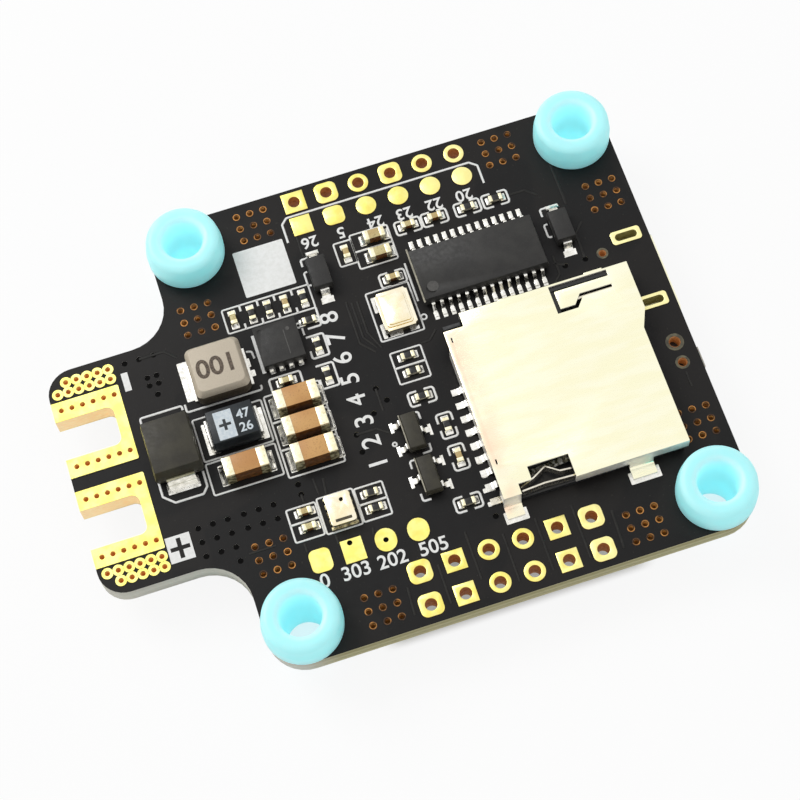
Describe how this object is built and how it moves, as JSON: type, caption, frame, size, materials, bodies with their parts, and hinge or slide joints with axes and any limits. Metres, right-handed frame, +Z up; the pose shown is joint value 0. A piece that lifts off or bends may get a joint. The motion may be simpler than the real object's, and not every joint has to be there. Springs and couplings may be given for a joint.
{
  "type": "flight controller board",
  "caption": "Flight controller board for a small multirotor: black board on four soft grommets, with slotted battery terminals, card slot and USB socket.",
  "frame": {"origin": "centre of the square pattern of grommet bores, on the plane that the four grommets stand on", "axes": "+X towards the edge with the USB socket and the card slot's mouth, away from the battery tab; +Y towards the row of six plated holes; +Z up, out of the face with the card slot"},
  "size_m": [0.0466, 0.0362, 0.0068],
  "materials": {
    "board_black": "black solder mask over glass-filled laminate",
    "pad_gold": "pale immersion gold over copper",
    "silicone_blue": "soft translucent silicone",
    "mould_black": "black moulding compound",
    "tin": "tin-plated metal",
    "cover_steel": "plated stamped steel",
    "crystal_ceramic": "ceramic carrier with gold edge",
    "lid_metal": "pale plated lid",
    "slot_plastic": "black moulded plastic",
    "plunger_plastic": "pale moulded plastic",
    "ferrite": "beige coated iron powder",
    "ceramic_tan": "tan fired ceramic",
    "alumina": "white alumina",
    "light_lens": "clear cast lens"
  },
  "bodies": {
    "board": {"circuit_board": "board_black", "battery_terminals": "pad_gold", "back_row_pads": "pad_gold", "front_header_pads": "pad_gold", "sensor_bus_pads": "pad_gold", "usb_slot_pads": "pad_gold", "power_pads": "pad_gold", "grommet_front_left": "silicone_blue", "grommet_front_right": "silicone_blue", "grommet_back_left": "silicone_blue", "grommet_back_right": "silicone_blue", "overlay_chip_body": "mould_black", "overlay_chip_leads": "tin", "crystal_base": "crystal_ceramic", "crystal_lid": "lid_metal", "card_slot_cover": "cover_steel", "card_slot_base": "slot_plastic", "card_contacts": "pad_gold", "card_detect_blades": "cover_steel", "card_eject_spring": "cover_steel", "inductor_body": "ferrite", "inductor_terminals": "tin", "surge_diode_body": "mould_black", "surge_diode_leads": "tin", "tantalum_body": "mould_black", "tantalum_terminals": "tin", "buck_converter_body": "mould_black", "buck_converter_pads": "pad_gold", "large_capacitor_bodies": "ceramic_tan", "large_capacitor_ends": "tin", "small_capacitor_bodies": "ceramic_tan", "small_capacitor_ends": "tin", "resistor_bodies": "alumina", "resistor_coats": "mould_black", "resistor_ends": "tin", "small_diode_bodies": "mould_black", "small_diode_leads": "tin", "transistor_bodies": "mould_black", "transistor_leads": "tin", "barometer_base": "crystal_ceramic", "barometer_lid": "lid_metal", "processor_body": "mould_black", "processor_leads": "tin", "motion_sensor": "mould_black", "clock_crystal_base": "crystal_ceramic", "clock_crystal_lid": "lid_metal", "usb_shell": "cover_steel", "usb_tongue": "slot_plastic", "usb_contacts": "pad_gold", "boot_button_housing": "slot_plastic", "boot_button_cover": "cover_steel", "boot_button_terminals": "tin", "status_lights": "light_lens", "current_shunt_body": "mould_black", "current_shunt_ends": "tin", "regulator_bodies": "mould_black", "regulator_leads": "tin"},
    "boot_plunger": {"boot_button_plunger": "plunger_plastic"},
    "eject_slider": {"card_eject_slider": "slot_plastic"},
    "cam_pin": {"card_cam_pin": "cover_steel"}
  },
  "joints": [
    {"name": "boot_button_press", "type": "slide", "parent": "board", "child": "boot_plunger", "axis": [-1, 0, 0], "range_m": [0, 0.00025], "stiffness_N_per_m": 4000, "springref_m": -0.00005},
    {"name": "card_eject_slide", "type": "slide", "parent": "board", "child": "eject_slider", "axis": [-1, 0, 0], "range_m": [0, 0.0035], "stiffness_N_per_m": 120, "springref_m": -0.0005, "deforming": ["card_eject_spring"]},
    {"name": "cam_pin_swing", "type": "hinge", "parent": "board", "child": "cam_pin", "pos_m": [0.01418, 0.00158, 0.0055], "axis": [0, 0, 1], "range_deg": [0, 6.5]}
  ],
  "couplings": [
    {"joint": "cam_pin_swing", "follows": "card_eject_slide", "rad_per_m": 32.143}
  ]
}
